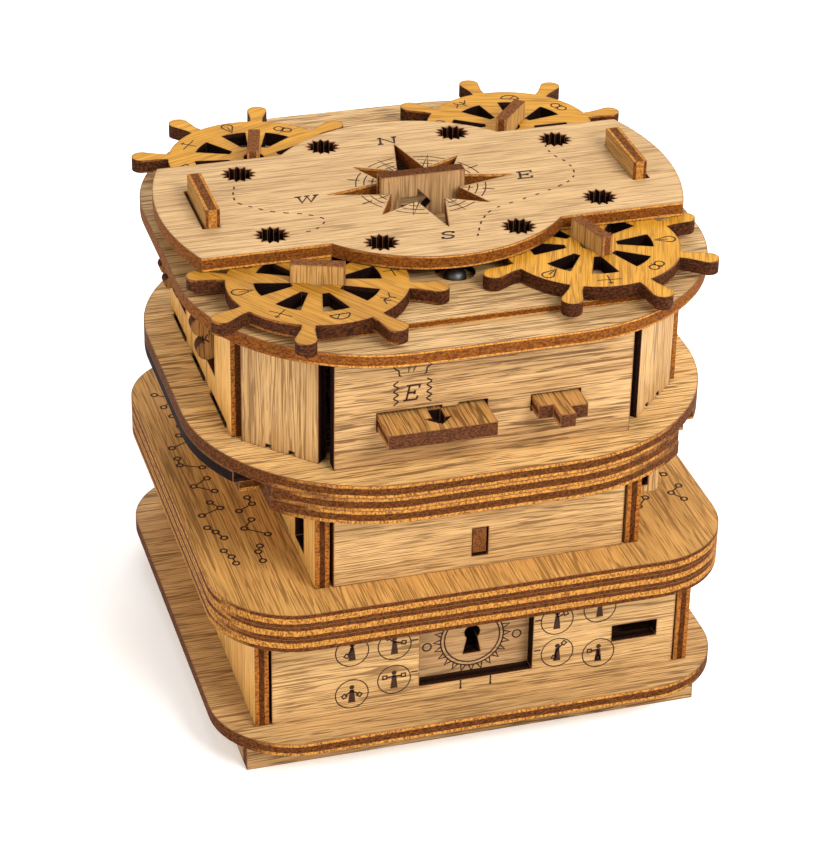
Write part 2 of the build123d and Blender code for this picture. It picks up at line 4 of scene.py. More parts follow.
import bpy
import bmesh
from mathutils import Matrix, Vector


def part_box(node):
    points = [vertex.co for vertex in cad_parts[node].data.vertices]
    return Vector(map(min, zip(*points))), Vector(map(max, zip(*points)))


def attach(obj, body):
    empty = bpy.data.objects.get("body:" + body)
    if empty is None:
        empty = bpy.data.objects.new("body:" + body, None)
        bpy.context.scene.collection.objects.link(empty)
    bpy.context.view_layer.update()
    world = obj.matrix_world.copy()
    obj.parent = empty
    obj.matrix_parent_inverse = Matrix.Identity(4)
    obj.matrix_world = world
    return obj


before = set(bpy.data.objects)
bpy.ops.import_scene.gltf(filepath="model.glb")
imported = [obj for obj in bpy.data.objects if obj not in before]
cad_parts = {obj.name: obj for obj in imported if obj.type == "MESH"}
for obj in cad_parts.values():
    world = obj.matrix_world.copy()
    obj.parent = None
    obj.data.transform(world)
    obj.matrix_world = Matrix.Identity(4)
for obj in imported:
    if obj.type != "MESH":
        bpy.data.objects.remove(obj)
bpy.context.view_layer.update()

MM = 0.001
rng = random.Random(7)
X, Y, Z = Vector((1, 0, 0)), Vector((0, 1, 0)), Vector((0, 0, 1))

# ------------------------------------------------------------------ shader helpers

COLOUR_A, COLOUR_B, COLOUR_OUT = 6, 7, 2  # a mix node's colour sockets, whose names aren't unique


class Tree:
    """A short way to write a material's nodes: each call adds nodes and returns one output to link on."""

    def __init__(self, name, rough, shine=0.25):
        self.mat = bpy.data.materials.new(name)
        self.mat.use_nodes = True
        self.nodes, self.links = self.mat.node_tree.nodes, self.mat.node_tree.links
        self.bsdf = self.nodes["Principled BSDF"]
        self.bsdf.inputs["Roughness"].default_value = rough
        self.bsdf.inputs["Specular IOR Level"].default_value = shine

    def put(self, socket, value):
        if isinstance(value, bpy.types.NodeSocket):
            self.links.new(value, socket)
        else:
            socket.default_value = value

    def node(self, kind, settings=None, out=0, **inputs):
        """out is the number or the name of the output to return."""
        n = self.nodes.new("ShaderNode" + kind)
        for key, value in (settings or {}).items():
            setattr(n, key, value)
        for key, value in inputs.items():
            self.put(n.inputs[key.replace("_", " ")], value)
        return n.outputs[out]

    def stored(self, name, output="Fac"):
        """A value that dress() stored on the mesh."""
        n = self.nodes.new("ShaderNodeAttribute")
        n.attribute_name = name
        return n.outputs[output]

    def noise(self, vector, scale, detail=3.0, rough=0.55, distortion=0.0):
        """Noise between 0 and 1, with its own scale along the grain, across it and through the sheet."""
        stretched = self.nodes.new("ShaderNodeVectorMath")
        stretched.operation = "MULTIPLY"
        self.put(stretched.inputs[0], vector)
        stretched.inputs[1].default_value = scale
        return self.node("TexNoise", Vector=stretched.outputs[0], Scale=1.0, Detail=detail,
                         Roughness=rough, Distortion=distortion)

    def ramp(self, fac, *stops):
        """Each stop is a position and a grey."""
        n = self.nodes.new("ShaderNodeValToRGB")
        self.put(n.inputs[0], fac)
        elements = n.color_ramp.elements
        while len(elements) < len(stops):
            elements.new(0.5)
        for e, (at, grey) in zip(elements, stops):
            e.position = at
            e.color = (grey, grey, grey, 1)
        return n.outputs[0]

    def rise(self, fac, low, high):
        return self.ramp(fac, (low, 0.0), (high, 1.0))

    def fall(self, fac, low, high):
        return self.ramp(fac, (low, 1.0), (high, 0.0))

    def mix(self, fac, a, b):
        n = self.nodes.new("ShaderNodeMix")
        n.data_type = "RGBA"
        n.clamp_factor = True
        self.put(n.inputs[0], fac)
        for number, value in ((COLOUR_A, a), (COLOUR_B, b)):
            self.put(n.inputs[number], value if isinstance(value, bpy.types.NodeSocket) else (*value, 1))
        return n.outputs[COLOUR_OUT]

    def math(self, operation, a, b=0.0):
        n = self.nodes.new("ShaderNodeMath")
        n.operation = operation
        self.put(n.inputs[0], a)
        self.put(n.inputs[1], b)
        return n.outputs[0]

    def plus(self, a, b):
        return self.math("ADD", a, b)

    def times(self, a, b):
        return self.math("MULTIPLY", a, b)

    def finish(self, colour, height, depth, strength):
        """depth is the height of the bumps in millimetres."""
        self.put(self.bsdf.inputs["Base Color"], colour)
        bump = self.node("Bump", Strength=strength, Distance=depth * MM, Height=height)
        self.put(self.bsdf.inputs["Normal"], bump)
        return self.mat


def shade(colour, *factors):
    return tuple(c * f for c, f in zip(colour, factors))


# Noise scales per mm: along the grain, across it and through the sheet.
FIGURE, FIBRE, HAIR = (0.012, 0.13, 0.3), (0.035, 2.1, 1.0), (0.22, 6.5, 1.0)
GROWTH, BREAKS, PORES = (0.007, 0.22, 0.3), (0.06, 1.1, 1.0), (0.11, 3.9, 1.0)
RINGS = 11  # how many growth rings the noise called GROWTH is cut into
# How much red, green and blue change from the tone to the pale and the deep wood, at full contrast.
PALER, DEEPER = (0.30, 0.34, 0.42), (-0.26, -0.31, -0.38)
LINE_SHADE = (0.20, 0.145, 0.12)  # a dark line's share of the tone's red, green and blue
FRINGE = 0.9  # mm: how far scorching spreads from a cut
SCORCHED = (0.15, 0.055, 0.02)


def veneer(name, tone, streaks=0.8, rough=0.62, contrast=1.0):
    """A plywood face: figure, fibres, dark lines and pores, with a scorched fringe along the cuts."""
    t = Tree(name, rough, shine=0.12)
    at = t.stored("grain_at", "Vector")
    pale = shade(tone, *(1 + contrast * change for change in PALER))
    deep = shade(tone, *(1 + contrast * change for change in DEEPER))
    dark = shade(tone, *LINE_SHADE)
    figure = t.noise(at, FIGURE, detail=3, distortion=0.5)
    fibre = t.noise(at, FIBRE, detail=3, rough=0.6)
    hair = t.noise(at, HAIR, detail=2)
    growth = t.noise(at, GROWTH, detail=2, rough=0.45)
    breaks = t.noise(at, BREAKS, detail=2, rough=0.6)
    pores = t.noise(at, PORES, detail=1, rough=0.5)

    broad = t.plus(t.times(figure, 0.35), t.times(fibre, 0.65))
    colour = t.mix(t.rise(broad, 0.38, 0.62), pale, deep)
    colour = t.mix(t.times(t.rise(hair, 0.42, 0.62), 0.4), colour, deep)

    from_ring = t.math("ABSOLUTE", t.math("SUBTRACT", t.math("FRACT", t.times(growth, RINGS)), 0.5))
    long_lines = t.times(t.fall(from_ring, 0.09, 0.17), t.rise(breaks, 0.42, 0.50))
    short_lines = t.times(t.rise(pores, 0.55, 0.60), t.ramp(breaks, (0.36, 0.3), (0.52, 1.0)))
    lines = t.math("MAXIMUM", long_lines, short_lines)
    colour = t.mix(t.times(lines, streaks), colour, dark)

    open_air = t.node("AmbientOcclusion", {"samples": 4, "inside": True, "only_local": True},
                      out="AO", Distance=FRINGE * MM)
    ragged = t.math("SUBTRACT", open_air, t.times(hair, 0.16))
    colour = t.mix(t.ramp(ragged, (0.34, 0.85), (0.70, 0.0)), colour, SCORCHED)
    height = t.math("SUBTRACT", t.times(hair, 0.5), lines)
    return t.finish(colour, height, depth=0.06, strength=0.4)


GLUE_LINE = 0.05  # half of the blur between two plies, as a share of the thickness
MOST_WOBBLE = 0.10  # how far a glue line wanders, as a share of the thickness


def cut_edge(name, gold, brown, black, outer=0.3, core_turns=False):
    """A laser-cut edge of three plies: pale outer plies around a core that is burnt darker.

    The outer plies are burnt too where the cut runs across their grain, and there core_turns makes the core
    pale. outer is the share of the thickness that each outer ply takes.
    """
    t = Tree(name, rough=0.72, shine=0.05)
    at, through, endwise = t.stored("grain_at", "Vector"), t.stored("through"), t.stored("endwise")
    wobble = t.times(t.math("SUBTRACT", t.noise(at, (0.4, 0.4, 0.2), detail=2), 0.5), MOST_WOBBLE)
    level = t.plus(through, wobble)
    above = t.rise(level, outer - GLUE_LINE, outer + GLUE_LINE)
    below = t.fall(level, 1 - outer - GLUE_LINE, 1 - outer + GLUE_LINE)
    core = t.times(above, below)
    if core_turns:
        charred = t.math("ABSOLUTE", t.math("SUBTRACT", core, endwise))
    else:
        charred = t.math("MAXIMUM", core, endwise)
    marks = t.noise(at, (2.0, 2.0, 1.3), detail=3, rough=0.7)
    patches = t.noise(at, (0.10, 0.10, 0.3), detail=2)
    along = t.noise(at, (1.3, 1.3, 2.2), detail=3, rough=0.7)
    bright = t.mix(t.rise(marks, 0.40, 0.58), brown, gold)
    dull = t.mix(t.rise(along, 0.40, 0.62), black, shade(brown, 0.80, 0.75, 0.70))
    burnt = t.plus(charred, t.times(t.math("SUBTRACT", patches, 0.5), 1.1))
    colour = t.mix(t.rise(burnt, 0.30, 0.70), bright, dull)
    height = t.plus(marks, t.times(charred, -0.6))
    return t.finish(colour, height, depth=0.12, strength=0.5)


def speckled(name, colour, rough, metal=0.0, scale=2.0, spread=0.25):
    """An even finish with a little mottling."""
    t = Tree(name, rough, shine=0.3)
    t.bsdf.inputs["Metallic"].default_value = metal
    mottle = t.noise(t.node("TexCoord", out="Object"), (scale / MM,) * 3, detail=2)
    low, high = (tuple(c * (1 + change) for c in colour) for change in (-spread, spread))
    return t.finish(t.mix(t.rise(mottle, 0.35, 0.65), low, high), mottle, depth=0.02, strength=0.2)


FACES = {
    "birch": veneer("birch_veneer", (0.50, 0.305, 0.125), streaks=0.7, contrast=0.85),
    "shaded": veneer("shaded_veneer", (0.47, 0.285, 0.121)),
    "corner": veneer("corner_veneer", (0.485, 0.290, 0.118), streaks=0.6, contrast=0.85),
    "skirt": veneer("skirt_veneer", (0.385, 0.225, 0.090)),
    "deck": veneer("deck_veneer", (0.54, 0.340, 0.150)),
    "cover": veneer("cover_veneer", (0.51, 0.325, 0.152), streaks=0.45, contrast=0.6),
    "collar": veneer("collar_veneer", (0.67, 0.415, 0.162)),
    "ledge": veneer("ledge_veneer", (0.51, 0.270, 0.077), streaks=0.6, contrast=0.8),
    "drawer": veneer("drawer_veneer", (0.45, 0.220, 0.055)),
    "key": veneer("key_veneer", (0.46, 0.240, 0.072), contrast=0.9),
    "dark": veneer("dark_veneer", (0.30, 0.145, 0.040), contrast=0.8),
    "amber": veneer("amber_veneer", (0.53, 0.250, 0.022), streaks=0.45, rough=0.5, contrast=0.7),
    # A darker copy of the amber veneer: painted shade for the front left wheel.
    "shaded_amber": veneer("shaded_amber_veneer", (0.44, 0.205, 0.022), streaks=0.45, rough=0.5, contrast=0.7),
    "honey": veneer("honey_veneer", (0.65, 0.350, 0.095), streaks=0.5, contrast=0.7),
    "tab": veneer("tab_veneer", (0.46, 0.250, 0.075), streaks=0.6, contrast=0.7),
    "grey": veneer("grey_veneer", (0.42, 0.245, 0.108), streaks=0.5, contrast=0.8),
}
GOLD, BROWN, BLACK = (0.50, 0.230, 0.045), (0.17, 0.056, 0.012), (0.040, 0.012, 0.004)
EDGE = cut_edge("burnt_edge", GOLD, BROWN, BLACK, 0.24)
EDGE_LEDGE = cut_edge("burnt_edge_ledge", GOLD, BROWN, BLACK, 0.30, core_turns=True)
EDGE_THIN = cut_edge(
    "burnt_edge_thin_faces", (0.58, 0.275, 0.060), (0.30, 0.100, 0.015), (0.085, 0.025, 0.005), 0.15)
EDGE_DARK = cut_edge(
    "burnt_edge_dark", (0.40, 0.175, 0.045), (0.15, 0.054, 0.020), (0.040, 0.014, 0.007), 0.28)
EDGE_TAB = cut_edge(
    "burnt_edge_tab", (0.44, 0.190, 0.040), (0.27, 0.100, 0.028), (0.085, 0.029, 0.010), 0.22)
EDGE_COVER_TAB = cut_edge(
    "burnt_edge_cover_tab", (0.46, 0.200, 0.035), (0.24, 0.085, 0.018), (0.060, 0.020, 0.007), 0.22,
    core_turns=True)
EDGE_WHEEL = cut_edge(
    "burnt_edge_wheel", (0.30, 0.105, 0.020), (0.110, 0.036, 0.011), (0.018, 0.006, 0.004), 0.13)
EDGE_END = cut_edge(
    "burnt_edge_wall_end", (0.36, 0.125, 0.020), (0.13, 0.040, 0.008), (0.038, 0.011, 0.003))
# Near-black cut edges: burnt, and darkened further as painted shade, for the left slider, the front and
# corner panels, the keyhole plate and the walls of small openings.
EDGE_BURNT_AND_SHADED = cut_edge(
    "burnt_and_shaded_edge", (0.030, 0.011, 0.006), (0.014, 0.005, 0.003), (0.005, 0.002, 0.002))
RIM = speckled("scorched_corner", (0.17, 0.062, 0.018), rough=0.75)
BURNT = speckled("burnt_line", (0.036, 0.012, 0.005), rough=0.85, scale=3.0, spread=0.5)
STEEL = speckled("polished_steel", (0.10, 0.095, 0.09), rough=0.5, metal=1.0, spread=0.08)

# ------------------------------------------------------------------ dressing the CAD nodes

SMALL_OPENING = 10.0  # mm: the walls of openings smaller than this are painted near-black: burnt, and darkened as painted shade inside the opening
VENEER, CUT, CORNER, CHARRED_AND_SHADED = range(4)  # material slots of a dressed node
SAME_PLACE, CORNER_ROUND = 0.002, 0.13  # mm: corners closer than this are joined; width of a softened corner
CORNER_ANGLE = 40  # degrees: a corner sharper than this is softened
LEAST_GRAIN = 0.3  # below this share in a board's own plane, the grain is taken along X instead
FACE_LEAN = 0.5  # faces whose normal has less than this share along the board's thin direction are cut edges
SHEET_SHIFT, LAYER_SHIFT = 500, 50  # mm: how far each board's place in the veneer is moved, at most

MICRONS = 1e6  # in a metre
NORMAL_STEPS = 20  # normals are sorted to the nearest twentieth on each axis

# node: (face veneer, edge, grain direction)
DRESS = {
    "skirt_front": ("skirt", EDGE, X),
    "skirt_sides": ("skirt", EDGE, Y),
    "base_plate": ("birch", EDGE, X),
    "ledge_drawer": ("drawer", EDGE_LEDGE, Y),
    # The left slider's edges are near-black, painted shade, while the right slider's are plain burnt.
    "left_slider": ("collar", EDGE_BURNT_AND_SHADED, X),
    "right_slider": ("collar", EDGE, X),
    "front_bolt": ("key", EDGE_TAB, Y),
    "keyhole_plate": ("grey", EDGE_BURNT_AND_SHADED, X),
    "compass_key": ("grey", EDGE, Z),
    "slide_bar": ("key", EDGE_DARK, Y),
    "t_key": ("key", EDGE_DARK, Y),
    "top_front_panel": ("shaded", EDGE_BURNT_AND_SHADED, X),
    "middle_front_panel": ("birch", EDGE_END, X),
    "low_front_panel": ("birch", EDGE_BURNT_AND_SHADED, X),
    "deck_plate": ("deck", EDGE_THIN, X),
    "deck_pad": ("deck", EDGE_THIN, X),
    "cover_plate": ("cover", EDGE_THIN, X),
    "hub_spacer": ("deck", EDGE, X),
    "front_thumbwheel": ("dark", EDGE_WHEEL, Z),
    "rear_thumbwheel": ("dark", EDGE_WHEEL, Z),
    "side_catch": ("birch", EDGE_END, Z),
}
for layer in ("upper", "middle", "lower"):
    DRESS[f"ledge_{layer}_ply"] = ("ledge", EDGE_LEDGE, Y)
    DRESS[f"collar_{layer}_ply"] = ("collar", EDGE, X)
WHEEL_GRAIN = {"front_left": 125, "front_right": 70, "rear_left": 20, "rear_right": -15}  # degrees from +X
for place, angle in WHEEL_GRAIN.items():
    a = math.radians(angle)
    # The front left wheel takes the darker copy of the amber: painted shade.
    face = "shaded_amber" if place == "front_left" else "amber"
    DRESS[place + "_wheel"] = (face, EDGE_WHEEL, Vector((math.cos(a), math.sin(a), 0)))
    DRESS[place + "_tab"] = ("tab", EDGE_TAB, Z)
    DRESS[place + "_corner_panel"] = ("corner", EDGE_BURNT_AND_SHADED, Z)
for side in ("left", "right"):
    DRESS[f"cover_{side}_tab"] = ("tab", EDGE_COVER_TAB, Y)
    for name in (f"low_{side}_wall", f"middle_{side}_wall", f"top_{side}_boards"):
        DRESS[name] = ("honey", EDGE_END, Z)


def islands(mesh, wanted=None):
    """Groups of polygons that join on, as lists of indices; corners within a micron count as one."""
    spot, parent = {}, []

    def root(i):
        while parent[i] != i:
            parent[i] = parent[parent[i]]
            i = parent[i]
        return i

    ids = []
    for v in mesh.vertices:
        key = tuple(round(c * MICRONS) for c in v.co)
        if key not in spot:
            spot[key] = len(parent)
            parent.append(len(parent))
        ids.append(spot[key])
    chosen = [p for p in mesh.polygons if wanted is None or wanted(p)]
    for p in chosen:
        first = ids[p.vertices[0]]
        for v in p.vertices[1:]:
            parent[root(ids[v])] = root(first)
    groups = {}
    for p in chosen:
        groups.setdefault(root(ids[p.vertices[0]]), []).append(p.index)
    return list(groups.values())


def facing(mesh, polygons):
    """The direction that most of a board's surface faces, either way."""
    areas = {}
    for i in polygons:
        p = mesh.polygons[i]
        n = p.normal if (p.normal.x, p.normal.y, p.normal.z) > (0, 0, 0) else -p.normal
        key = tuple(round(c * NORMAL_STEPS) for c in n)
        total, direction = areas.get(key, (0.0, n.copy()))
        areas[key] = (total + p.area, direction)
    return max(areas.values(), key=lambda entry: entry[0])[1].normalized()


def longest_side(mesh, polygons):
    spots = [mesh.vertices[v].co for i in polygons for v in mesh.polygons[i].vertices]
    return max(max(s[k] for s in spots) - min(s[k] for s in spots) for k in range(3))


# Place in the veneer in mm, place through the sheet from 0 to 1, and how squarely a face cuts the grain.
LAYERS = (("grain_at", "FLOAT_VECTOR", "POINT"), ("through", "FLOAT", "POINT"), ("endwise", "FLOAT", "FACE"))


def dress(node, veneer_name, edge, grain):
    """Gives a CAD node its veneer and cut edges, and the wood's own directions to run them along."""
    mesh = node.data
    for layer, kind, domain in LAYERS:
        mesh.attributes.new(layer, kind, domain)
    at, through, endwise = (mesh.attributes[layer] for layer, _, _ in LAYERS)
    mesh.materials.clear()
    for m in (FACES[veneer_name], edge, RIM, EDGE_BURNT_AND_SHADED):
        mesh.materials.append(m)
    for polygons in islands(mesh):
        thin = facing(mesh, polygons)
        along = grain - thin * grain.dot(thin)
        if along.length <= LEAST_GRAIN:
            along = X - thin * X.dot(thin)
        along.normalize()
        across = thin.cross(along)
        used = sorted({v for i in polygons for v in mesh.polygons[i].vertices})
        depth = [mesh.vertices[v].co.dot(thin) for v in used]
        low, high = min(depth), max(depth)
        shift = Vector([rng.uniform(-most, most) for most in (SHEET_SHIFT, SHEET_SHIFT, LAYER_SHIFT)])
        for v, d in zip(used, depth):
            co = mesh.vertices[v].co
            at.data[v].vector = Vector((co.dot(along), co.dot(across), d)) / MM + shift
            through.data[v].value = (d - low) / (high - low)
        for i in polygons:
            p = mesh.polygons[i]
            p.material_index = CUT if abs(p.normal.dot(thin)) < FACE_LEAN else VENEER
            endwise.data[i].value = abs(p.normal.dot(along))
            p.use_smooth = True
    # Painted shade: the walls of small openings take the near-black edge, for the dark inside of each
    # opening.
    for wall in islands(mesh, lambda p: p.material_index == CUT):
        if longest_side(mesh, wall) < SMALL_OPENING * MM:
            for i in wall:
                mesh.polygons[i].material_index = CHARRED_AND_SHADED
    weld = node.modifiers.new("weld", "WELD")
    weld.merge_threshold = SAME_PLACE * MM
    bevel = node.modifiers.new("corner", "BEVEL")
    bevel.width, bevel.segments = CORNER_ROUND * MM, 2
    bevel.limit_method, bevel.angle_limit = "ANGLE", math.radians(CORNER_ANGLE)
    bevel.material = CORNER
    bevel.use_clamp_overlap = True
    node.modifiers.new("normals", "WEIGHTED_NORMAL")


for name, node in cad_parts.items():
    if name == "steel_stud":
        node.data.materials.clear()
        node.data.materials.append(STEEL)
        continue
    dress(node, *DRESS.get(name, ("birch", EDGE, X)))

# ------------------------------------------------------------------ burnt-in lines

LINE, FINE, BOLD = 0.40, 0.30, 0.62  # mm: widths of the burnt lines
HALF_SUNK = 0.03  # mm: how far a line stands out of the face, and how far it goes in
MITRE, SHARPEST = 1.6, 0.3  # a bend's most extra width, and the least cosine that it is worked out from
SLANT = 0.22  # how far the compass letters lean, as a share of their height


def smooth(points, steps=6):
    """A soft curve through the points."""
    ends = [2 * Vector(points[0]) - Vector(points[1]), 2 * Vector(points[-1]) - Vector(points[-2])]
    p = [ends[0], *map(Vector, points), ends[1]]
    curve = []
    for a, b, c, d in zip(p, p[1:], p[2:], p[3:]):
        for k in range(steps):
            u = k / steps
            curve.append(0.5 * (2 * b + (c - a) * u + (2 * a - 5 * b + 4 * c - d) * u ** 2
                                + (3 * b - a - 3 * c + d) * u ** 3))
    return curve + [p[-2]]


def arc(x, y, radius, start=0.0, end=360.0, step=12.0):
    count = max(2, math.ceil(abs(end - start) / step))
    angles = [math.radians(start + (end - start) * k / count) for k in range(count + 1)]
    return [Vector((x + radius * math.cos(a), y + radius * math.sin(a))) for a in angles]


class Marks:
    """Lines burnt into one flat face: closed ribbons, half sunk in the wood. Places are mm on the face."""

    def __init__(self, name, body, origin, across, up):
        self.name, self.body = name, body
        self.origin, self.across, self.up = Vector(origin), Vector(across), Vector(up)
        self.mesh = bmesh.new()

    def spot(self, place, side):
        """A corner of a ribbon, above the face where side is 1 and below it where side is -1."""
        out = self.across.cross(self.up)
        flat = self.across * place[0] + self.up * place[1] + out * (side * HALF_SUNK)
        return self.mesh.verts.new(self.origin + flat * MM)

    def line(self, points, width=LINE, closed=False):
        points = [Vector(p) for p in points]
        points = [p for k, p in enumerate(points) if k == 0 or (p - points[k - 1]).length > 1e-4]
        if closed and (points[0] - points[-1]).length < 1e-4:
            points.pop()
        count = len(points)
        rungs = []
        for k, p in enumerate(points):
            before = points[k - 1] if k or closed else None
            after = points[(k + 1) % count] if k + 1 < count or closed else None
            ways = [(b - a).normalized() for a, b in ((before, p), (p, after)) if a and b]
            way = sum(ways, Vector((0, 0))).normalized()
            side = Vector((-way.y, way.x))
            # A bend's rung is longer, so that the ribbon keeps its width.
            reach = min(MITRE, 1 / max(SHARPEST, way.dot(ways[0]))) * width / 2
            left, right = p + side * reach, p - side * reach
            rungs.append([self.spot(*corner) for corner in ((left, 1), (right, 1), (right, -1), (left, -1))])
        for a, b in zip(rungs, rungs[1:] + rungs[:1] if closed else rungs[1:]):
            for k in range(4):
                self.mesh.faces.new((a[k], a[(k + 1) % 4], b[(k + 1) % 4], b[k]))
        if not closed:
            self.mesh.faces.new(rungs[0])
            self.mesh.faces.new(rungs[-1])

    def ring(self, x, y, radius, width=FINE):
        self.line(arc(x, y, radius)[:-1], width, closed=True)

    def fill(self, points):
        top, low = [self.spot(p, 1) for p in points], [self.spot(p, -1) for p in points]
        self.mesh.faces.new(top)
        self.mesh.faces.new(low)
        for k in range(len(points)):
            j = (k + 1) % len(points)
            self.mesh.faces.new((top[k], top[j], low[j], low[k]))

    def dot(self, x, y, radius):
        self.fill(arc(x, y, radius, step=30)[:-1])

    def dashes(self, points, dash, gap, width):
        """A dashed line along a soft curve."""
        curve = smooth(points, 10)
        run, drawn, piece = 0.0, True, []
        for a, b in zip(curve, curve[1:]):
            if drawn:
                piece.append(a)
            run += (b - a).length
            if run > (dash if drawn else gap):
                if drawn and len(piece) > 1:
                    self.line(piece, width)
                run, drawn, piece = 0.0, not drawn, []

    def letter(self, which, x, y, width, height, stroke=BOLD):
        """A slanted compass letter in the box whose lowest corner is x, y."""
        for path in LETTERS[which]:
            path = smooth(path) if which == "S" and len(path) > 3 else path
            self.line([(x + width * u + SLANT * height * (v - 0.5), y + height * v) for u, v in path], stroke)

    def done(self):
        """Makes the lines into one piece that rides on the face's body."""
        bmesh.ops.recalc_face_normals(self.mesh, faces=self.mesh.faces)
        mesh = bpy.data.meshes.new(self.name)
        self.mesh.to_mesh(mesh)
        self.mesh.free()
        mesh.materials.append(BURNT)
        piece = bpy.data.objects.new(self.name, mesh)
        bpy.context.scene.collection.objects.link(piece)
        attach(piece, self.body)


# The strokes of each letter, in a box one unit wide and one high.
LETTERS = {
    "N": [
        [(0, 0), (0, 1), (1, 0), (1, 1)],
        [(-0.2, 0), (0.2, 0)],
        [(-0.2, 1), (0.1, 1)],
        [(0.8, 1), (1.2, 1)],
    ],
    "E": [
        [(0.15, 0), (0.15, 1)],
        [(-0.1, 1), (1, 1), (1, 0.78)],
        [(-0.1, 0), (1, 0), (1.05, 0.24)],
        [(0.15, 0.5), (0.72, 0.5)],
        [(0.72, 0.36), (0.72, 0.64)],
    ],
    "S": [
        [(0.95, 0.78), (0.7, 1), (0.28, 0.98), (0.08, 0.76), (0.3, 0.56), (0.75, 0.42), (0.92, 0.22),
         (0.7, 0.01), (0.25, 0.02), (0.03, 0.24)],
        [(0.95, 0.7), (0.97, 1.0)],
        [(0.02, 0.0), (0.03, 0.3)],
    ],
    "W": [
        [(0.05, 1), (0.25, 0), (0.52, 0.9), (0.72, 0), (1, 1)],
        [(-0.12, 1), (0.22, 1)],
        [(0.38, 1), (0.66, 1)],
        [(0.84, 1), (1.14, 1)],
    ],
}


def top_of(name):
    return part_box(name)[1].z


def front_of(name):
    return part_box(name)[0].y


# The cover: compass letters, a web between the star's arms, and two dashed routes.
COVER_LETTERS = (  # letter, x, y, width, height
    ("N", -2.9, 24.6, 3.6, 3.4),
    ("S", -3.0, -29.6, 3.0, 3.3),
    ("W", -31.6, -2.7, 4.8, 3.3),
    ("E", 24.8, -2.9, 3.4, 3.6),
)
STAR_LONG, STAR_SHORT, STAR_IN = 23.6, 19.0, 9.2  # mm: tips and inner corners of the star, from its middle
WEDGES = 8  # how many spaces there are between the star's arms
SPIKED = (1, 2, 5, 6)  # the wedges that hold a narrow spike; the others hold two strokes
SPIKE_FROM, SPIKE_TO, SPIKE_HALF = 9.9, 17.2, 0.65
INNER_STROKE, OUTER_STROKE = (10.2, 13.0), (15.2, 18.2)
WEB_RADII = (12.0, 14.0, 16.0)
WEB_CLEAR = 3.0  # degrees between the web's arcs and the star's edges
DASH, DASH_GAP, DASH_WIDTH = 1.5, 1.1, 0.45
ROUTES = (
    ((-44.7, 9.9), (-45.9, 5.8), (-46.0, 1.5), (-43.0, -2.0), (-38.3, -5.9), (-32.3, -8.5), (-28.3, -11.6),
     (-28.3, -14.2), (-31.8, -17.6), (-35.6, -17.6)),
    ((36.9, 13.9), (36.9, 8.7), (38.9, 3.2), (39.1, -1.9), (37.0, -6.3), (31.7, -9.8), (22.8, -13.6),
     (13.6, -17.2), (9.1, -21.9), (6.1, -28.0), (4.0, -33.2)),
)


def star_edge(radius, tip):
    """Angle from an arm's middle line to its edge at this radius, in degrees; 0 beyond the tip."""
    if radius >= tip:
        return 0.0
    inner = Vector((STAR_IN * math.cos(math.pi / 8), STAR_IN * math.sin(math.pi / 8)))
    low, high = 0.0, 1.0
    for _ in range(24):
        mid = (low + high) / 2
        p = inner.lerp(Vector((tip, 0)), mid)
        low, high = (mid, high) if p.length < radius else (low, mid)
    return math.degrees(math.atan2(p.y, p.x))


cover = Marks("cover_marks", "cover", (0, 0, top_of("cover_plate")), X, Y)
for letter in COVER_LETTERS:
    cover.letter(*letter)
for wedge in range(WEDGES):
    base = 360 / WEDGES * wedge
    tips = (STAR_SHORT, STAR_LONG) if wedge % 2 else (STAR_LONG, STAR_SHORT)
    for radius in WEB_RADII:
        start = base + star_edge(radius, tips[0]) + WEB_CLEAR
        end = base + 360 / WEDGES - star_edge(radius, tips[1]) - WEB_CLEAR
        cover.line(arc(0, 0, radius, start, end, 6), FINE)
    middle = math.radians(base + 180 / WEDGES)
    ray, side = Vector((math.cos(middle), math.sin(middle))), Vector((-math.sin(middle), math.cos(middle)))
    if wedge in SPIKED:
        foot, half = ray * SPIKE_FROM, side * SPIKE_HALF
        cover.line([foot + half, ray * SPIKE_TO, foot - half], FINE)
    else:
        cover.line([ray * radius for radius in INNER_STROKE], FINE)
        cover.line([ray * radius for radius in OUTER_STROKE], LINE)
for route in ROUTES:
    cover.dashes(route, DASH, DASH_GAP, DASH_WIDTH)
cover.done()

# The top front panel: a letter inside wavy brackets, with another above it inside hooked ones.
BRACKETS_MIDDLE, BRACKET = -17.85, 0.38  # mm: the x between the brackets, and their lines' width
WAVE_NEAR, WAVE_FAR, WAVE_FOOT, WAVE_STEP, WAVE_TURNS = 3.5, 4.6, 99.0, 0.9, 8
HOOK = ((-4.9, 110.4), (-4.5, 108.9), (-3.4, 108.1), (-3.3, 106.9), (-2.8, 106.6))
top = Marks("top_front_marks", "root", (0, front_of("top_front_panel"), 0), X, Z)
top.letter("E", -19.4, 100.0, 2.9, 3.8, 0.5)
top.letter("W", -19.2, 107.6, 2.6, 3.4, 0.45)
for side in (-1, 1):
    wave = []
    for k in range(WAVE_TURNS):
        out = WAVE_NEAR if k % 2 else WAVE_FAR
        wave.append((BRACKETS_MIDDLE + side * out, WAVE_FOOT + WAVE_STEP * k))
    top.line(smooth(wave, 4), BRACKET)
    top.line([(BRACKETS_MIDDLE - side * x, z) for x, z in HOOK], BRACKET)
top.done()

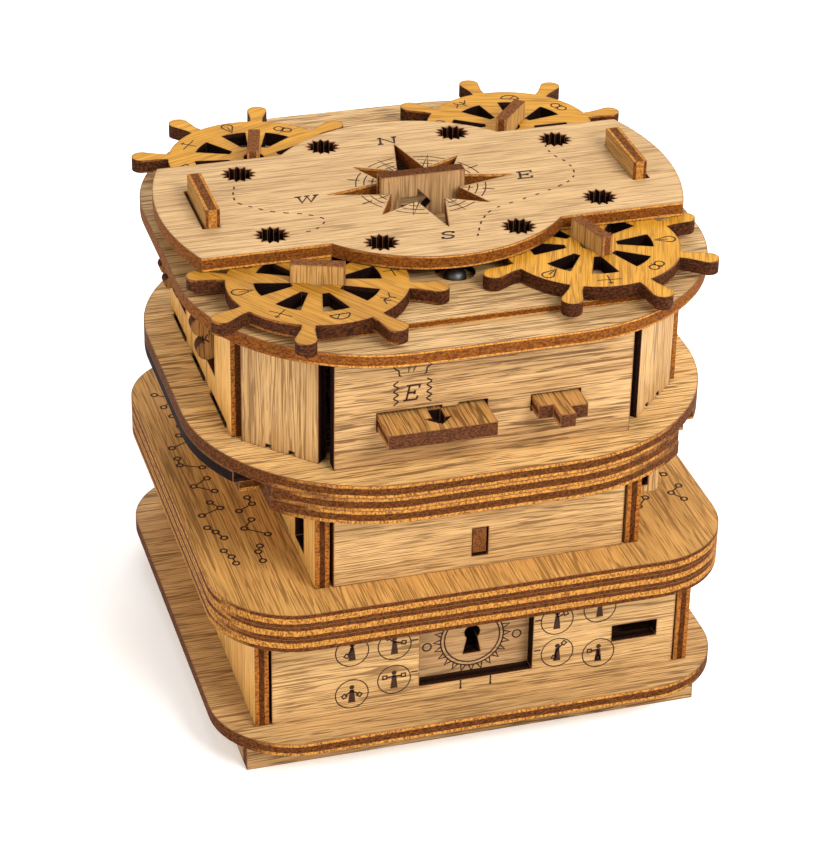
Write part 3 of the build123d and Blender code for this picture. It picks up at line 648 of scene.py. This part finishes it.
# The low front panel: signal figures in rings, and short strokes beside and below the window.
RING_R, HEAD_AT, HEAD_R = 4.2, 2.0, 0.65  # mm: a figure's ring, and its head above the ring's middle
HEM, HEM_HALF, COLLAR, COLLAR_HALF = -2.6, 0.95, 1.3, 0.5  # its body's lower and upper edges
SHOULDER, ARM, FLAG = 0.9, 1.9, 1.0
FIGURES = (  # x, z and the angles of the two arms in degrees
    (-32.0, 18.2, (215, 325)), (-21.2, 20.6, (180, 0)), (-32.0, 30.8, (90, 235)), (-21.2, 30.8, (140, 350)),
    (21.3, 21.0, (45, 250)), (32.3, 18.9, (180, 270)), (20.9, 30.8, (20, 90)), (32.1, 32.5, (135, 45)),
)
SIDE_STROKES, SIDE_STROKE = ((-16.9, 22.0), (-16.9, 31.5), (16.9, 22.4), (16.9, 31.5)), 1.8
FOOT_STROKES, FOOT_TOP, FOOT_END, FOOT_DOT = (-3.9, 3.9), 17.2, 14.9, 14.8


def figure(marks, x, z, arms):
    """A small figure in a ring, holding a flag in each hand."""
    marks.ring(x, z, RING_R, FINE)
    marks.fill([(x - HEM_HALF, z + HEM), (x + HEM_HALF, z + HEM),
                (x + COLLAR_HALF, z + COLLAR), (x - COLLAR_HALF, z + COLLAR)])
    marks.dot(x, z + HEAD_AT, HEAD_R)
    for angle in arms:
        way = Vector((math.cos(math.radians(angle)), math.sin(math.radians(angle))))
        side = Vector((-way.y, way.x)) * FLAG / 2
        start = Vector((x, z + SHOULDER))
        hand = start + way * ARM
        end = hand + way * FLAG
        marks.line([start, hand], 0.45)
        marks.line([hand - side, hand + side, end + side, end - side], 0.36, closed=True)


low = Marks("low_front_marks", "root", (0, front_of("low_front_panel"), 0), X, Z)
for x, z, arms in FIGURES:
    figure(low, x, z, arms)
for x, z in SIDE_STROKES:
    low.line([(x, z), (x - math.copysign(SIDE_STROKE, x), z)], LINE)
for x in FOOT_STROKES:
    low.line([(x, FOOT_TOP), (x, FOOT_END)], LINE)
    low.dot(x, FOOT_DOT, 0.35)
low.done()

# The sliding plate: a toothed double ring around the keyhole.
RING_Z, RING_RADII = 26.8, (7.2, 8.2)
TEETH, TOOTH_FOOT, TOOTH_TIP, TOOTH_HALF = 24, 8.3, 10.0, math.radians(4.4)
plate = Marks("keyhole_plate_marks", "keyhole_slide_plate", (0, front_of("keyhole_plate"), 0), X, Z)
for radius in RING_RADII:
    plate.ring(0, RING_Z, radius, LINE)
for k in range(TEETH):
    a = 2 * math.pi * k / TEETH
    corners = ((TOOTH_FOOT, a - TOOTH_HALF), (TOOTH_TIP, a), (TOOTH_FOOT, a + TOOTH_HALF))
    plate.line([(r * math.cos(b), RING_Z + r * math.sin(b)) for r, b in corners], LINE)
for x in (-11.7, 11.7):
    plate.ring(x, 25.9, 1.1, LINE)
plate.done()

# Each ship's wheel: a small sign on the rim between each pair of handles, in five kinds.
SIGNS = (  # each sign's paths and their widths
    # a teardrop
    ((arc(0, 0.9, 1.1, -30, 210), LINE), ([(-0.95, 0.4), (0, -1.9), (0.95, 0.4)], LINE),
     ([(0, -1.2), (0, 0.7)], FINE)),
    # a double cross
    (([(-2.3, 0), (2.3, 0)], FINE), ([(0, -1.7), (0, 1.7)], FINE), ([(-0.5, 1.2), (0.5, 1.2)], FINE)),
    # a half disc
    ((arc(0, -0.9, 1.8, 0, 180), LINE), ([(-1.8, -0.9), (1.8, -0.9)], LINE), ([(0, -0.9), (0.9, 0.6)], FINE)),
    # a branch
    (([(-1.9, -0.8), (-0.6, 0.2), (0.9, -0.3), (2.0, 0.9)], FINE), ([(-0.6, 0.2), (-0.9, 1.3)], LINE),
     ([(0.9, -0.3), (0.6, 1.0)], LINE), ([(0.2, -0.1), (0.5, -1.2)], LINE)),
    # two rings
    ((arc(-0.9, 0, 0.9), LINE), (arc(0.9, 0, 0.9), LINE), ([(-0.1, 1.2), (0.1, -1.2)], FINE)),
)
SIGN_AT, SIGN_SIZE, HANDLES = 18.2, 1.3, 8
SIGN_TURNS = {  # the angle of each wheel's first handle in degrees, and its first sign
    "front_left": (-20.0, 1),
    "front_right": (-73.2, 4),
    "rear_left": (-105.3, 1),
    "rear_right": (49.9, 2),
}
for place, (turn, first) in SIGN_TURNS.items():
    low_corner, high_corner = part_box(place + "_wheel")
    middle = (low_corner + high_corner) / 2
    wheel = Marks(place + "_wheel_marks", "helm_" + place, (middle.x, middle.y, high_corner.z), X, Y)
    for k in range(HANDLES):
        a = math.radians(turn + 360 / HANDLES * (k + 0.5))
        out, side = Vector((math.cos(a), math.sin(a))), Vector((math.sin(a), -math.cos(a)))
        for path, width in SIGNS[(k + first) % len(SIGNS)]:
            spots = [out * (SIGN_AT + SIGN_SIZE * p.y) + side * SIGN_SIZE * p.x for p in map(Vector, path)]
            wheel.line(spots, width)
    wheel.done()

# The front thumbwheel: a double chevron on each lobe.
LOBES, FIRST_LOBE = 8, 213.0  # how many, and the first one's angle in degrees clockwise from +X
CHEVRONS, CHEVRON_HALF, CHEVRON_DEEP = (8.2, 9.4), 1.1, 0.9
low_corner, high_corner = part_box("front_thumbwheel")
middle = (low_corner + high_corner) / 2
thumb = Marks("front_thumbwheel_marks", "front_thumb", (middle.x, low_corner.y, middle.z), X, Z)
for k in range(LOBES):
    a = math.radians(-FIRST_LOBE + 360 / LOBES * k)
    out, side = Vector((math.cos(a), math.sin(a))), Vector((-math.sin(a), math.cos(a)))
    for radius in CHEVRONS:
        tip, foot = out * radius, out * (radius - CHEVRON_DEEP)
        thumb.line([foot + side * CHEVRON_HALF, tip, foot - side * CHEVRON_HALF], LINE)
thumb.done()

# The ledge: small constellations on the strips beside the middle tier.
STAR_R, STAR_LINE, CLUSTER, STEP, SCATTER = 0.8, 0.5, 3, 3.2, 0.6
COLUMNS = ((45.5, 51.5), (54.0, 60.5))  # how far out from the middle each column of clusters lies
FIRST_Y, LAST_Y, LEAST_SPACE, MOST_SPACE = -39.0, 44.0, 0.5, 3.0
ledge = Marks("ledge_marks", "root", (0, 0, top_of("ledge_upper_ply")), X, Y)
for side in (-1, 1):
    for inner, outer in COLUMNS:
        y = FIRST_Y
        while y < LAST_Y:
            stars = []
            for k in range(CLUSTER):
                x = side * rng.uniform(inner, outer)
                stars.append(Vector((x, y + STEP * k + rng.uniform(-SCATTER, SCATTER))))
            for a, b in zip(stars, stars[1:]):
                way = (b - a).normalized() * STAR_R
                ledge.line([a + way, b - way], LINE)
            for star in stars:
                ledge.ring(star.x, star.y, STAR_R, STAR_LINE)
            y += STEP * CLUSTER + rng.uniform(LEAST_SPACE, MOST_SPACE)
ledge.done()

# ------------------------------------------------------------------ floor, light, camera

FLOOR_SIZE, FLOOR_TONE, FLOOR_GLOW = 6, 0.92, 0.20
bpy.ops.mesh.primitive_plane_add(size=FLOOR_SIZE)
floor = bpy.context.object
floor.name = "floor"
paper = Tree("floor_paper", rough=0.9)
paper.bsdf.inputs["Base Color"].default_value = (FLOOR_TONE, FLOOR_TONE, FLOOR_TONE, 1)
paper.bsdf.inputs["Emission Color"].default_value = (1, 1, 1, 1)
paper.bsdf.inputs["Emission Strength"].default_value = FLOOR_GLOW
floor.data.materials.append(paper.mat)

world = bpy.data.worlds.new("studio")
bpy.context.scene.world = world
world.use_nodes = True
sky = world.node_tree.nodes["Background"]
sky.inputs["Color"].default_value = (1.0, 1.0, 1.0, 1)
sky.inputs["Strength"].default_value = 0.60

BOX_MIDDLE = Vector((0, 0, 0.06))


def softbox(name, place, size, power, colour=(1, 1, 1)):
    """A rectangular light that faces the box; place and size in metres, power in watts."""
    light = bpy.data.lights.new(name, "AREA")
    light.shape, light.size, light.size_y = "RECTANGLE", *size
    light.energy, light.color = power, colour
    o = bpy.data.objects.new(name, light)
    bpy.context.scene.collection.objects.link(o)
    o.location = place
    o.rotation_euler = (BOX_MIDDLE - Vector(place)).to_track_quat("-Z", "Y").to_euler()


softbox("key", (0.45, -0.95, 0.90), (0.6, 0.6), 19, (1.0, 0.98, 0.95))
softbox("fill", (-0.9, -0.5, 0.5), (0.8, 0.8), 5.5, (1.0, 0.93, 0.82))
softbox("back", (0.2, 0.9, 1.1), (0.9, 0.6), 8)
softbox("side", (1.1, -0.15, 0.55), (0.5, 0.5), 4.5, (0.90, 0.95, 1.0))

camera = bpy.data.cameras.new("camera")
camera.lens, camera.sensor_width = 123.6, 36
camera.clip_start, camera.clip_end = 0.01, 20
eye = bpy.data.objects.new("camera", camera)
bpy.context.scene.collection.objects.link(eye)
eye.location = (-0.18822, -0.61545, 0.43969)
eye.rotation_euler = [math.radians(a) for a in (59.425, -1.027, -16.468)]
bpy.context.scene.camera = eye
bpy.context.scene.view_settings.view_transform = "Standard"
